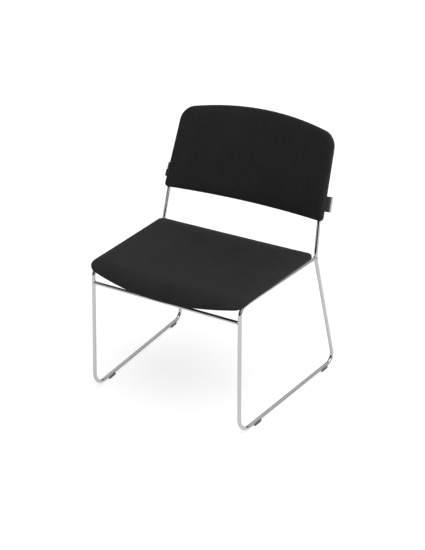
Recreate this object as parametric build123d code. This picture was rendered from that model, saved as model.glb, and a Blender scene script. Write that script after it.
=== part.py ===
from build123d import *
import os
from math import atan2, cos, degrees, radians, sin, sqrt, tan

# Stacking chair: two bent steel rod side frames on floor runners, joined by two crossbars,
# with a thin upholstered seat on the rails and a curved upholstered back on the uprights.
# Millimetres. +Z is up, the sitter faces -Y, and +X is the right side seen from in front.
# Lengths along Y start at the front feet. The finished chair is shifted at the end, so that
# its origin is the bottom centre of its bounding box.

# Steel rod frame
ROD = 12.0                  # side frame rod diameter
CROSSBAR_ROD = 11.0
RUNNER_Z = 9.5              # height of the floor runner's centre line
RAIL_Z = 422.5              # height of the seat rail's centre line
FRONT_TOP_Y = 10.0          # front leg leans: its top is this far behind its foot
KINK_Y = 430.0              # where rail, rear leg and upright meet
REAR_FOOT_Y = 556.0
HALF_WIDTH = 257.0          # rod centre to centre plane, at the front of the rail
TAPER = 0.058               # side frames spread towards the back, mm per mm
SPLAY = 0.020               # and towards the floor, mm per mm
FRONT_TOP_R = 30.0
FRONT_FLOOR_R = 52.0
REAR_FLOOR_R = 28.0
KINK_R = 60.0
UPRIGHT_R = 80.0
RAIL_JOIN_Y = 220.0         # middle of the rail, where the swept rod starts
FRONT_BAR_Z = 375.5
REAR_BAR_Y = 372.0

# Seat: flat from the back to the nose, then rolled down over the front crossbar
SEAT_THICK = 15.0
SEAT_REAR_Y = 418.0
SEAT_NOSE_Y = 40.0          # where the roll starts
SEAT_NOSE_R = 76.0          # outer radius of the roll
SEAT_ROLL_DEG = 67.0        # how far the nose rolls down at the middle
SEAT_FRONT_Y = -26.0
SEAT_FRONT_BOW_R = 1200.0   # bow of the front edge, seen from above
SEAT_OVERHANG = (14.0, 2.5)  # beyond the rail's centre line, at the nose and at the rear
SEAT_FRONT_CORNER_R = 28.0
SEAT_REAR_CORNER_R = 22.0
SEAT_BOARD_THICK = 7.0
COVER_THICK = 1.2
HEM_WIDTH = 16.0            # cover turned under the board

# Back: a panel curved across its width and leaning back
BACK_Y = 443.0              # front face, bottom corners
BACK_Z = 540.5
BACK_LEAN = 21.0
BACK_THICK = 27.0
BACK_HALF_WIDTH = 286.5     # at the bottom
BACK_NARROWING = 0.0515     # each side, mm per mm of height
BACK_HEIGHT = 301.0         # along the slope, at the middle
BACK_TOP_R = 960.0          # arched top edge
BACK_FOOT_RISE = 8.6        # foot edge rises in the middle, so that it looks level
BACK_TOP_CORNER_R = 38.0
BACK_FOOT_CORNER_R = 7.0
BACK_HOLLOW = 24.0          # how much deeper the middle is than the sides
BACK_BOARD_T0 = 9.5
BACK_BOARD_T1 = 16.5
BOARD_INSET = 19.3
ROD_DEPTH = 14.5            # rod centre behind the front corners' plane
ROD_INSET = 12.0             # rod centre in from the panel's side edge
UPRIGHT_REACH = 150.0       # how far the upright runs up inside the back

# Small parts
TAB_THICK = 3.0
TAB_WIDTH = 28.0
TAB_LENGTH = 30.0
TAB_SETBACK = 2.0           # tab's outer edge, in from the rod's centre line
SEAT_TAB_Y = (96.0, 345.0)
BACK_TAB_S = (54.0, 128.0)
SCREW_R = 2.9
SCREW_HEAD_R = 5.2
SCREW_HEAD_H = 3.2
NUT_R = 4.2
NUT_FLANGE_R = 9.0
NUT_FLANGE_H = 1.2
FIT = 0.15                  # clearance around a screw or a tee nut's bore
GLIDE_LENGTH = 34.0
GLIDE_HALF_WIDTH = 7.6
GLIDE_TOP_Z = 9.0
GLIDE_Y = (95.0, 493.0)
UNDERCOVER_THICK = 1.0

# Row-linking hooks behind the back's side edges
HOOK_S = (30.0, 78.0)       # height range along the back's slope
HOOK_THICK = 2.0
HOOK_LEAF = 34.0            # leaf lying on the back
HOOK_SCREW_INSET = 24.5     # inside the upright
HOOK_SCREW_OFFSET = 18.0    # above and below the lower tab
HOOK_REACH = 15.0           # wing beyond the side edge
HOOK_FLANGE = 7.0
BUFFER_HEIGHT = 22.0

LEFT = -1
RIGHT = 1
SIDES = {"left": LEFT, "right": RIGHT}
BIG = 400.0


def side_x(y, z):
    """Half width of the sloping plane that holds one bent side frame."""
    return HALF_WIDTH + TAPER * (y - FRONT_TOP_Y) + SPLAY * (RAIL_Z - z)


def side_point(side, y, z):
    return Vector(side * side_x(y, z), y, z)


def back_place():
    """The back's own frame: X across, Y through its thickness, Z up its slope."""
    return Location((0, BACK_Y, BACK_Z), (-BACK_LEAN, 0, 0))


def back_half_width(s):
    return BACK_HALF_WIDTH - BACK_NARROWING * s


def back_point(side, s, inset, depth):
    """Point in the chair's frame, from height up the slope, inset and depth."""
    local = Pos(side * (back_half_width(s) - inset), depth, s)
    return (back_place() * local).position


# ---------------------------------------------------------------- steel frame


def upright_foot(side):
    return back_point(side, 0, ROD_INSET, ROD_DEPTH)


def upright_top(side):
    return back_point(side, UPRIGHT_REACH, ROD_INSET, ROD_DEPTH)


def side_frame(side):
    """One bent rod: rail, front leg, runner, rear leg and upright, its rail welded to the kink."""
    start = side_point(side, RAIL_JOIN_Y, RAIL_Z)
    kink = side_point(side, KINK_Y, RAIL_Z)
    path = FilletPolyline(
        start,
        side_point(side, FRONT_TOP_Y, RAIL_Z),
        side_point(side, 0, RUNNER_Z),
        side_point(side, REAR_FOOT_Y, RUNNER_Z),
        kink,
        upright_foot(side),
        upright_top(side),
        radius=[FRONT_TOP_R, FRONT_FLOOR_R, REAR_FLOOR_R, KINK_R, UPRIGHT_R],
    )
    rod = sweep(Plane(path @ 0, z_dir=path % 0) * Circle(ROD / 2), path=path)
    run = kink - start
    weld_taper = 9.0
    rail = Plane(start, z_dir=run) * extrude(Circle(ROD / 2), run.length - weld_taper)
    taper_place = Plane(kink - run.normalized() * weld_taper, z_dir=run)
    rail_tip = taper_place * Pos(0, 0, weld_taper / 2) * Cone(ROD / 2, ROD / 2 - 1.2, weld_taper)
    return rod + rail + rail_tip


def rod_between(a, b, diameter):
    run = b - a
    return Plane(a, z_dir=run) * extrude(Circle(diameter / 2), run.length)


def crossbar(y, z, frames):
    """Straight rod across the chair, its ends coped to the side frames."""
    bar = rod_between(side_point(LEFT, y, z), side_point(RIGHT, y, z), CROSSBAR_ROD)
    return middle_solid(bar - frames[LEFT] - frames[RIGHT])


def middle_solid(shape):
    """The largest piece left by a cut."""
    return max(shape.solids(), key=lambda solid: solid.volume)


def front_crossbar(frames):
    up_leg = (FRONT_BAR_Z - RUNNER_Z) / (RAIL_Z - RUNNER_Z)
    return crossbar(FRONT_TOP_Y * up_leg, FRONT_BAR_Z, frames)


def rear_crossbar(frames):
    return crossbar(REAR_BAR_Y, RAIL_Z, frames)


def seat_tab(side, y, frames):
    """Flat steel tab welded inside the rail, flush with its top, drilled for a seat screw."""
    outer = side_x(y, RAIL_Z) - TAB_SETBACK
    top = RAIL_Z + ROD / 2
    plate = Pos(side * (outer - TAB_WIDTH / 2), y, top - TAB_THICK / 2) * Box(TAB_WIDTH, TAB_LENGTH, TAB_THICK)
    plate = fillet(plate.edges().filter_by(Axis.Z).sort_by(Axis.X)[::-side][2:], 6)
    hole = Pos(*screw_spot(side, y), top) * Cylinder(SCREW_R + 2 * FIT, 4 * TAB_THICK)
    return middle_solid(plate - hole - frames[side])


def screw_spot(side, y):
    """Plan position of the seat screw through one tab."""
    return side * (side_x(y, RAIL_Z) - TAB_SETBACK - TAB_WIDTH + 10.0), y


# ---------------------------------------------------------------- seat


def seat_outline(inset):
    """Plan outline of the seat, pulled in evenly."""
    front_x = side_x(SEAT_NOSE_Y, RAIL_Z) + SEAT_OVERHANG[0] - inset
    rear_x = side_x(SEAT_REAR_Y, RAIL_Z) + SEAT_OVERHANG[1] - inset
    rear_y = SEAT_REAR_Y - inset
    middle_y = SEAT_FRONT_Y + inset
    corner_y = middle_y + SEAT_FRONT_BOW_R - sqrt(SEAT_FRONT_BOW_R**2 - front_x**2)
    lean = (rear_x - front_x) / (SEAT_REAR_Y - SEAT_NOSE_Y)
    corner_x = front_x - lean * (SEAT_NOSE_Y - corner_y)
    with BuildSketch() as outline:
        with BuildLine():
            ThreePointArc((-corner_x, corner_y), (0, middle_y), (corner_x, corner_y))
            Polyline((corner_x, corner_y), (rear_x, rear_y), (-rear_x, rear_y), (-corner_x, corner_y))
        make_face()
        corners = outline.vertices().sort_by(Axis.Y)
        fillet(corners[:2], SEAT_FRONT_CORNER_R - inset)
        corners = outline.vertices().sort_by(Axis.Y)
        fillet(corners[-2:], SEAT_REAR_CORNER_R - inset)
    return outline.sketch


def seat_profile(t0, t1, inset):
    """Side profile of one layer, t0 to t1 above the seat's underside, stopping short of the nose's end."""
    under = RAIL_Z + ROD / 2
    nose_z = under + SEAT_THICK - SEAT_NOSE_R
    angle = radians(SEAT_ROLL_DEG) - inset / SEAT_NOSE_R

    def roll(t, share):
        r = SEAT_NOSE_R - SEAT_THICK + t
        return SEAT_NOSE_Y - r * sin(angle * share), nose_z + r * cos(angle * share)

    with BuildSketch(Plane.YZ) as profile:
        with BuildLine():
            Line((SEAT_REAR_Y, under + t0), (SEAT_NOSE_Y, under + t0))
            ThreePointArc((SEAT_NOSE_Y, under + t0), roll(t0, 0.5), roll(t0, 1))
            Line(roll(t0, 1), roll(t1, 1))
            ThreePointArc(roll(t1, 1), roll(t1, 0.5), (SEAT_NOSE_Y, under + t1))
            Line((SEAT_NOSE_Y, under + t1), (SEAT_REAR_Y, under + t1))
            Line((SEAT_REAR_Y, under + t1), (SEAT_REAR_Y, under + t0))
        make_face()
    return profile.sketch


def seat_layer(t0, t1, inset):
    """One layer of the seat between two heights, following the rolled nose."""
    slab = extrude(seat_profile(t0, t1, inset), BIG, both=True)
    return middle_solid(slab & extrude(seat_outline(inset), 2 * BIG))


def seat_screw_spots():
    return [screw_spot(side, y) for side in SIDES.values() for y in SEAT_TAB_Y]


def upright_cylinders(spots, radius, low, high):
    """Cylinders standing at plan positions, between two heights."""
    return [Pos(x, y, (low + high) / 2) * Cylinder(radius, high - low) for x, y in spots]


BOARD_T0 = COVER_THICK
BOARD_T1 = COVER_THICK + SEAT_BOARD_THICK
FOAM_T1 = SEAT_THICK - COVER_THICK


def seat_board():
    """Moulded plywood, drilled for the tee nuts."""
    under = RAIL_Z + ROD / 2
    holes = upright_cylinders(seat_screw_spots(), NUT_R + FIT, under, under + SEAT_THICK)
    return middle_solid(seat_layer(BOARD_T0, BOARD_T1, COVER_THICK + 0.8) - holes)


def seat_foam():
    """Foam sheet glued on the board, cut out over the tee nuts' flanges."""
    under = RAIL_Z + ROD / 2
    foam = seat_layer(BOARD_T1, FOAM_T1, COVER_THICK + 0.3)
    pockets = upright_cylinders(seat_screw_spots(), NUT_FLANGE_R + 0.5, under, under + BOARD_T1 + 1.6)
    return middle_solid(foam - pockets)


def seat_cover():
    """Upholstery pulled over foam and board and turned under the board."""
    skin = seat_layer(0, SEAT_THICK, 0) - seat_layer(BOARD_T0, FOAM_T1, COVER_THICK)
    return middle_solid(skin - seat_layer(-1, BOARD_T0 + 0.5, HEM_WIDTH))


def seat_undercover():
    """Thin sheet that closes the underside inside the turned hem."""
    under = RAIL_Z + ROD / 2
    sheet = seat_layer(BOARD_T0 - UNDERCOVER_THICK, BOARD_T0, HEM_WIDTH + 0.5)
    holes = upright_cylinders(seat_screw_spots(), SCREW_R + 2 * FIT, under - 2, under + 6)
    return middle_solid(sheet - holes)


def seat_screws():
    """Pan-head screws up through the tabs into the tee nuts."""
    top = RAIL_Z + ROD / 2
    tab_under = top - TAB_THICK
    shank_top = top + BOARD_T1 - 0.5
    shanks = upright_cylinders(seat_screw_spots(), SCREW_R, tab_under, shank_top)
    heads = upright_cylinders(seat_screw_spots(), SCREW_HEAD_R, tab_under - SCREW_HEAD_H, tab_under)
    return [shank + socketed(head, Axis.Z, 0) for shank, head in zip(shanks, heads)]


def socketed(head, axis, end):
    """Rounds a screw head's outer edge and sinks a hexagon socket into it."""
    rim = head.edges().sort_by(axis)[end]
    head = fillet(rim, 1.2)
    outer = head.faces().filter_by(GeomType.PLANE).sort_by(axis)[end]
    socket = extrude(Plane(outer) * RegularPolygon(2.0, 6), -1.8)
    return head - socket


def seat_tee_nuts():
    """Flanged threaded sleeves pressed into the board from above."""
    under = RAIL_Z + ROD / 2
    nuts = []
    for x, y in seat_screw_spots():
        sleeve = Pos(x, y, under + (BOARD_T0 + BOARD_T1) / 2) * Cylinder(NUT_R, SEAT_BOARD_THICK)
        flange = Pos(x, y, under + BOARD_T1 + NUT_FLANGE_H / 2) * Cylinder(NUT_FLANGE_R, NUT_FLANGE_H)
        bore = Pos(x, y, under + BOARD_T1) * Cylinder(SCREW_R + FIT, 4 * SEAT_BOARD_THICK)
        nuts.append(sleeve + flange - bore)
    return nuts


# ---------------------------------------------------------------- back


def back_outline(inset, foot_inset):
    """Front outline of the back in its own frame: straight foot, tapered sides, arched top."""
    foot_x = back_half_width(foot_inset) - inset
    top = BACK_HEIGHT - inset
    arch_r = BACK_TOP_R - inset
    side_s = top - arch_r + sqrt(arch_r**2 - (BACK_HALF_WIDTH - 14.0 - inset) ** 2)
    side_top = back_half_width(side_s) - inset
    with BuildSketch(Plane.XZ) as outline:
        with BuildLine():
            ThreePointArc((-side_top, side_s), (0, top), (side_top, side_s))
            Line((side_top, side_s), (foot_x, foot_inset))
            ThreePointArc((foot_x, foot_inset), (0, foot_inset + BACK_FOOT_RISE), (-foot_x, foot_inset))
            Line((-foot_x, foot_inset), (-side_top, side_s))
        make_face()
        corners = outline.vertices().sort_by(Axis.Y)
        fillet(corners[-2:], BACK_TOP_CORNER_R - inset)
        corners = outline.vertices().sort_by(Axis.Y)
        fillet(corners[:2], max(BACK_FOOT_CORNER_R - inset, 2.0))
    return outline.sketch


def back_radius():
    """Radius of the front face across the width."""
    return (BACK_HALF_WIDTH**2 + BACK_HOLLOW**2) / (2 * BACK_HOLLOW)


def back_layer(t0, t1, inset, foot_inset=None):
    """One layer of the curved back between two depths, in the back's own frame."""
    foot_inset = inset if foot_inset is None else foot_inset
    centre_y = BACK_HOLLOW - back_radius()
    ring = Circle(back_radius() + t1) - Circle(back_radius() + t0)
    wall = extrude(Pos(0, centre_y) * ring, BIG)
    prism = extrude(back_outline(inset, foot_inset), BIG, both=True)
    front_half = Pos(0, BIG / 2 - 20, BIG / 2) * Box(2 * BIG, BIG, BIG)
    return middle_solid(wall & prism & front_half)


def back_screw_place(side, s):
    """Local place on the board's rear face for one tab, with Z pointing rearwards."""
    x = side * (back_half_width(s) - ROD_INSET - TAB_SETBACK - TAB_WIDTH / 2)
    r = back_radius() + BACK_BOARD_T1
    turn = degrees(atan2(x, sqrt(r * r - x * x)))
    depth = BACK_HOLLOW - back_radius() + sqrt(r * r - x * x)
    return Location((x, depth, s), (0, 0, -turn)) * Location((0, 0, 0), (-90, 0, 0))


def back_rods(clearance):
    """The uprights' upper ends in the back's own frame, as fat as asked, to cut channels."""
    channels = []
    for side in SIDES.values():
        foot = Vector(side * (BACK_HALF_WIDTH - ROD_INSET), ROD_DEPTH, 0)
        tip_s = UPRIGHT_REACH
        tip = Vector(side * (back_half_width(tip_s) - ROD_INSET), ROD_DEPTH, tip_s)
        along = (tip - foot).normalized()
        lower = foot - along * 30.0
        channels.append(rod_between(lower, tip + along * clearance, ROD + 2 * clearance))
        bend_in = lower + Vector(0, -6, -4)
        channels.append(rod_between(bend_in, foot + along * 24.0, ROD + 2 * clearance))
    return channels


def tab_pockets():
    """Room in the foam around each welded tab and its screw."""
    pockets = []
    for side in SIDES.values():
        for s in BACK_TAB_S:
            place = back_screw_place(side, s)
            pockets.append(place * Pos(0, 0, 3.0) * Box(TAB_WIDTH + 8, TAB_LENGTH + 2, 8.0))
    return pockets


def back_board():
    board = back_layer(BACK_BOARD_T0, BACK_BOARD_T1, BOARD_INSET)
    holes = [back_screw_place(side, s) * Cylinder(SCREW_R + FIT, 40)
             for side in SIDES.values() for s in BACK_TAB_S]
    return middle_solid(board - holes - hook_screw_holes())


def back_foam_front():
    """Thick foam in front, moulded around the uprights, flush with the board's rear face."""
    foam = back_layer(COVER_THICK, BACK_BOARD_T1, COVER_THICK + 0.3)
    foam = foam - back_layer(BACK_BOARD_T0, BACK_BOARD_T1 + 1, BOARD_INSET - 0.2)
    return middle_solid(foam - back_rods(0.3) - tab_pockets() - hook_screw_holes())


def back_foam_rear():
    """Thin foam behind the board."""
    foam = back_layer(BACK_BOARD_T1, BACK_THICK - COVER_THICK, COVER_THICK + 0.3)
    return middle_solid(foam - back_rods(0.3) - tab_pockets() - hook_screw_holes())


def back_cover():
    """Sewn sleeve over both foams, with the uprights passing through its foot."""
    inner = back_layer(COVER_THICK, BACK_THICK - COVER_THICK, COVER_THICK)
    skin = back_layer(0, BACK_THICK, 0) - inner
    return middle_solid(skin - back_rods(0.4) - hook_screw_holes())


def back_tab(side, s, rods):
    """Flat steel tab welded to the upright and screwed to the board's rear face."""
    place = back_screw_place(side, s)
    plate = place * Pos(side * 4.0, 0, TAB_THICK / 2) * Box(TAB_WIDTH, TAB_LENGTH - 6, TAB_THICK)
    hole = place * Cylinder(SCREW_R + 2 * FIT, 40)
    return middle_solid(plate - hole - rods)


def back_screws():
    """Screws through the tabs into the back board, heads to the rear."""
    screws = []
    for side in SIDES.values():
        for s in BACK_TAB_S:
            place = back_screw_place(side, s)
            depth = BACK_BOARD_T1 - BACK_BOARD_T0 - 0.5
            shank = Pos(0, 0, (TAB_THICK - depth) / 2) * Cylinder(SCREW_R, TAB_THICK + depth)
            head = Pos(0, 0, TAB_THICK + SCREW_HEAD_H / 2) * Cylinder(SCREW_HEAD_R, SCREW_HEAD_H)
            screws.append(place * (shank + socketed(head, Axis.Z, -1)))
    return screws


# ---------------------------------------------------------------- row-linking hooks


def hook_place(side, s):
    """Local place on the cover's rear face at the panel's side edge, X outwards, Z rearwards."""
    x = back_half_width(s)
    r = back_radius() + BACK_THICK
    turn = degrees(atan2(x, sqrt(r * r - x * x)))
    depth = BACK_HOLLOW - back_radius() + sqrt(r * r - x * x)
    lean = degrees(atan2(BACK_NARROWING, 1.0))
    place = Location((side * x, depth, s), (0, 0, -side * turn))
    return place * Location((0, 0, 0), (0, -side * lean, 0)) * Location((0, 0, 0), (-90, 0, 0))


def linking_hook(side):
    """Bent sheet steel: a leaf screwed to the back, a wing beyond its edge, and a hooked flange.

    The right hook turns to the rear and the left one to the front, so neighbours engage.
    """
    length = HOOK_S[1] - HOOK_S[0]
    middle = (HOOK_S[0] + HOOK_S[1]) / 2
    leaf_x = -side * HOOK_LEAF
    wing_x = side * HOOK_REACH
    blade = Pos((leaf_x + wing_x) / 2, 0, HOOK_THICK / 2 + 0.1) * Box(abs(wing_x - leaf_x), length, HOOK_THICK)
    turn = HOOK_FLANGE / 2 * side
    flange_x = wing_x - side * HOOK_THICK / 2
    flange = Pos(flange_x, 0, HOOK_THICK / 2 + 0.1 + turn) * Box(HOOK_THICK, length, HOOK_FLANGE + HOOK_THICK)
    body = blade + flange
    corners = body.edges().filter_by(Axis.Z).sort_by(Axis.X)
    inner = corners[:2] if side == RIGHT else corners[-2:]
    body = fillet(inner, 5.0)
    bend_z = HOOK_THICK / 2 + 0.1 - side * HOOK_THICK / 2
    bend = body.edges().filter_by(Axis.Y).sort_by_distance((wing_x, 0, bend_z))[0]
    body = fillet(bend, 1.9)
    holes = [Pos(*spot, 0) * Cylinder(SCREW_R + FIT, 30) for spot in hook_screw_spots(side)]
    return hook_place(side, middle) * (body - holes)


def hook_screw_spots(side):
    return [(-side * HOOK_SCREW_INSET, end * HOOK_SCREW_OFFSET) for end in (-1, 1)]


def hook_screw_holes():
    """Holes through cover, foam and board for the hooks' screws, in the back's own frame."""
    middle = (HOOK_S[0] + HOOK_S[1]) / 2
    reach = BACK_THICK - BACK_BOARD_T0
    return [hook_place(side, middle) * Pos(*spot, -reach / 2) * Cylinder(SCREW_R + FIT, reach)
            for side in SIDES.values() for spot in hook_screw_spots(side)]


def hook_screws():
    middle = (HOOK_S[0] + HOOK_S[1]) / 2
    base = HOOK_THICK + 0.1
    reach = BACK_THICK - BACK_BOARD_T0 - 1.0
    screws = []
    for side in SIDES.values():
        for spot in hook_screw_spots(side):
            shank = Pos(*spot, (base - reach) / 2) * Cylinder(SCREW_R, base + reach)
            head = Pos(*spot, base + SCREW_HEAD_H / 2) * Cylinder(SCREW_HEAD_R, SCREW_HEAD_H)
            screws.append(hook_place(side, middle) * (shank + socketed(head, Axis.Z, -1)))
    return screws


def hook_buffer():
    """Rubber sleeve on the lower half of the left hook's flange, against rattling."""
    middle = (HOOK_S[0] + HOOK_S[1]) / 2
    outer = LEFT * HOOK_REACH
    low = -(HOOK_S[1] - HOOK_S[0]) / 2
    flange_mid = HOOK_THICK / 2 + 0.1 - HOOK_FLANGE / 2
    block = Pos(outer + 1.7, 0, flange_mid) * Box(6.4, BUFFER_HEIGHT, HOOK_FLANGE + HOOK_THICK + 3.4)
    block = fillet(block.edges().filter_by(Axis.Y), 1.2)
    wing_end = -(low + BUFFER_HEIGHT / 2 + 1.0)
    return hook_place(LEFT, middle) * Pos(0, wing_end, 0) * block


# ---------------------------------------------------------------- glides


def glide(side, y):
    """Plastic saddle clipped under the runner, with a flat sole."""
    x = side_x(y, RUNNER_Z)
    turn = -side * degrees(atan2(TAPER, 1.0))
    block = Pos(0, 0, GLIDE_TOP_Z / 2) * Box(2 * GLIDE_HALF_WIDTH, GLIDE_LENGTH, GLIDE_TOP_Z)
    block = fillet(block.edges().filter_by(Axis.Z), 3.5)
    block = chamfer(block.faces().sort_by(Axis.Z)[0].edges(), 0.8)
    block = Location((side * x, y, 0), (0, 0, turn)) * block
    bore = rod_between(side_point(side, y - GLIDE_LENGTH, RUNNER_Z),
                       side_point(side, y + GLIDE_LENGTH, RUNNER_Z), ROD)
    return middle_solid(block - bore)


# ---------------------------------------------------------------- assembly


def placed(shape):
    """Moves a piece, or each piece of a group, from the back's own frame to the chair's."""
    if isinstance(shape, list):
        return [back_place() * piece for piece in shape]
    return back_place() * shape


def build():
    frames = {side: side_frame(side) for side in SIDES.values()}
    uprights = [back_place().inverse() * frame for frame in frames.values()]
    nodes = {
        "front_crossbar": front_crossbar(frames),
        "rear_crossbar": rear_crossbar(frames),
        "seat_board": seat_board(),
        "seat_foam": seat_foam(),
        "seat_cover": seat_cover(),
        "seat_undercover": seat_undercover(),
        "seat_screws": seat_screws(),
        "seat_tee_nuts": seat_tee_nuts(),
        "back_board": placed(back_board()),
        "back_foam_front": placed(back_foam_front()),
        "back_foam_rear": placed(back_foam_rear()),
        "back_cover": placed(back_cover()),
        "back_screws": placed(back_screws()),
        "linking_hook_left": placed(linking_hook(LEFT)),
        "linking_hook_right": placed(linking_hook(RIGHT)),
        "linking_hook_screws": placed(hook_screws()),
        "linking_hook_buffer": placed(hook_buffer() - linking_hook(LEFT)),
    }
    for name, side in SIDES.items():
        nodes["side_frame_" + name] = frames[side]
        for place, y in zip(("front", "rear"), SEAT_TAB_Y):
            nodes[f"seat_tab_{place}_{name}"] = seat_tab(side, y, frames)
        for place, s in zip(("lower", "upper"), BACK_TAB_S):
            nodes[f"back_tab_{place}_{name}"] = placed(back_tab(side, s, uprights))
        for place, y in zip(("front", "rear"), GLIDE_Y):
            nodes[f"glide_{place}_{name}"] = glide(side, y)
    return nodes


nodes = build()
every_piece = [piece for node in nodes.values() for piece in (node if isinstance(node, list) else [node])]
whole = Compound(every_piece).bounding_box()
shift = Pos(-whole.center().X, -whole.center().Y, -whole.min.Z)
os.makedirs("parts", exist_ok=True)
for name, node in nodes.items():
    shape = Compound([shift * piece for piece in node]) if isinstance(node, list) else shift * node
    export_step(shape, f"parts/{name}.step")
print("size", whole.size, "moved forward by", whole.center().Y)
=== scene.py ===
from math import asin, atan, atan2, cos, hypot, pi, radians, sin, sqrt

import bpy
import numpy as np
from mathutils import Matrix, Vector


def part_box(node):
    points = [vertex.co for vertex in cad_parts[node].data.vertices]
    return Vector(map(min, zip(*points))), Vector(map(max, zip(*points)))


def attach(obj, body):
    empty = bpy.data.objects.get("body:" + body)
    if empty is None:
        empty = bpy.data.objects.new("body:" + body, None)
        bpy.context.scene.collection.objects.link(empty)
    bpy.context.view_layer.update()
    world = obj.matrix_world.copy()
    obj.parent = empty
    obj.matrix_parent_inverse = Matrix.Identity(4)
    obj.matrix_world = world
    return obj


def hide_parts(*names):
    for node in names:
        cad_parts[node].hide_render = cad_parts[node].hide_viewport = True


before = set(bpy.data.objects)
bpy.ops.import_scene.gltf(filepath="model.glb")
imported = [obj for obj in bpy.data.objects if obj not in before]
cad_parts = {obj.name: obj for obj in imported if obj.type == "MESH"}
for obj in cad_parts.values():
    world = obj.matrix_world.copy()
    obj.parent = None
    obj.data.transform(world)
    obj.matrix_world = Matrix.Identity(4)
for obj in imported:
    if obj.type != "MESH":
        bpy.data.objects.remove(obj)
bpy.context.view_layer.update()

# ------------------------------------------------------------------ studio
# A white sweep under a broad, even ceiling glow, as for a catalogue. The walls are bright
# behind and to the right, and dim in front, which draws the dark lines in the chrome.

scene = bpy.context.scene
scene.view_settings.view_transform = "Standard"
scene.view_settings.look = "None"
scene.view_settings.exposure = 0.0
scene.view_settings.gamma = 1.0

CAMERA_AZIMUTH = radians(31.52)
CAMERA_ELEVATION = radians(25.48)
CAMERA_DISTANCE = 3.921
CAMERA_TARGET = Vector((0.01235, -0.0260, 0.3655))
FAR_CLIP = 100.0
LENS_MM = 107.05
SENSOR_MM = 36.0                  # across the picture's width
SWEEP_REACH = 60.0
SWEEP_DROP = 0.0002               # keeps the sweep clear of the glides' soles


class Value:
    """One output of a node, so that sums on it can be written as Python."""

    def __init__(self, tree, socket):
        self.tree = tree
        self.socket = socket

    def maths(self, operation, *others, clamp=False):
        settings = {"operation": operation, "use_clamp": clamp}
        return self.tree.add("ShaderNodeMath", settings, dict(enumerate((self,) + others)))

    def __add__(self, other):
        return self.maths("ADD", other)

    __radd__ = __add__

    def __sub__(self, other):
        return self.maths("SUBTRACT", other)

    def __rsub__(self, other):
        return self.tree.add("ShaderNodeMath", {"operation": "SUBTRACT"}, {0: other, 1: self})

    def __mul__(self, other):
        return self.maths("MULTIPLY", other)

    __rmul__ = __mul__


class Tree:
    """A node tree filled by one method."""

    def __init__(self, nodes):
        self.nodes = nodes

    def add(self, kind, settings=None, inputs=None, output=0):
        node = self.nodes.nodes.new(kind)
        for name, setting in (settings or {}).items():
            if name == "stops":
                self.set_stops(node.color_ramp, setting)
            else:
                setattr(node, name, setting)
        for name, given in (inputs or {}).items():
            if isinstance(given, Value):
                self.nodes.links.new(given.socket, node.inputs[name])
            else:
                node.inputs[name].default_value = given
        return Value(self, node.outputs[output]) if node.outputs else node

    def set_stops(self, ramp, stops):
        """Greys at places along a ramp."""
        while len(ramp.elements) < len(stops):
            ramp.elements.new(1.0)
        for element, (place, grey) in zip(ramp.elements, stops):
            element.position = place
            element.color = (grey, grey, grey, 1.0)

    def other(self, value, name):
        """Another output of the node that gave a value."""
        return Value(self, value.socket.node.outputs[name])

    def place(self):
        """The place on the piece, in metres, that a pattern follows."""
        return self.add("ShaderNodeTexCoord", output="Object")

    def noise(self, place, scale, detail):
        return self.add("ShaderNodeTexNoise", None, {"Vector": place, "Scale": scale, "Detail": detail})

    def between(self, share, first, second):
        """A colour that goes from the first to the second as the share goes from 0 to 1."""
        start = first if isinstance(first, Value) else (*first, 1)
        return self.add("ShaderNodeMix", {"data_type": "RGBA"}, {
            0: share, 6: start, 7: (*second, 1)}, output=2)

    def surface(self, colour, roughness, relief, others=None):
        """The finish itself: relief is a height, how strongly it shows, and its depth in metres."""
        height, strength, depth = relief
        bump = self.add("ShaderNodeBump", None, {"Height": height, "Strength": strength, "Distance": depth})
        given = {"Base Color": colour, "Roughness": roughness, "Normal": bump, **(others or {})}
        finish = self.add("ShaderNodeBsdfPrincipled", None, given)
        self.add("ShaderNodeOutputMaterial", None, {"Surface": finish})


def new_material(name):
    material = bpy.data.materials.new(name)
    material.use_nodes = True
    material.node_tree.nodes.clear()
    return material, Tree(material.node_tree)


def make_studio_floor():
    """Glows white to the lens and in the plating, but throws little light up at the cloth."""
    material, tree = new_material("sweep_white")
    lit = tree.add("ShaderNodeBsdfDiffuse", None, {"Color": (0.38, 0.38, 0.38, 1.0)})
    soft = tree.add("ShaderNodeLightPath", output="Is Diffuse Ray")
    strength = 0.74 - soft * 0.60
    glow = tree.add("ShaderNodeEmission", None, {"Color": (1, 1, 1, 1), "Strength": strength})
    both = tree.add("ShaderNodeAddShader", None, {0: lit, 1: glow})
    tree.add("ShaderNodeOutputMaterial", None, {"Surface": both})
    mesh = bpy.data.meshes.new("sweep")
    square = ((-1, -1), (1, -1), (1, 1), (-1, 1))
    corners = [(x * SWEEP_REACH, y * SWEEP_REACH, -SWEEP_DROP) for x, y in square]
    mesh.from_pydata(corners, [], [(0, 1, 2, 3)])
    mesh.materials.append(material)
    floor = bpy.data.objects.new("sweep", mesh)
    scene.collection.objects.link(floor)


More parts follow.
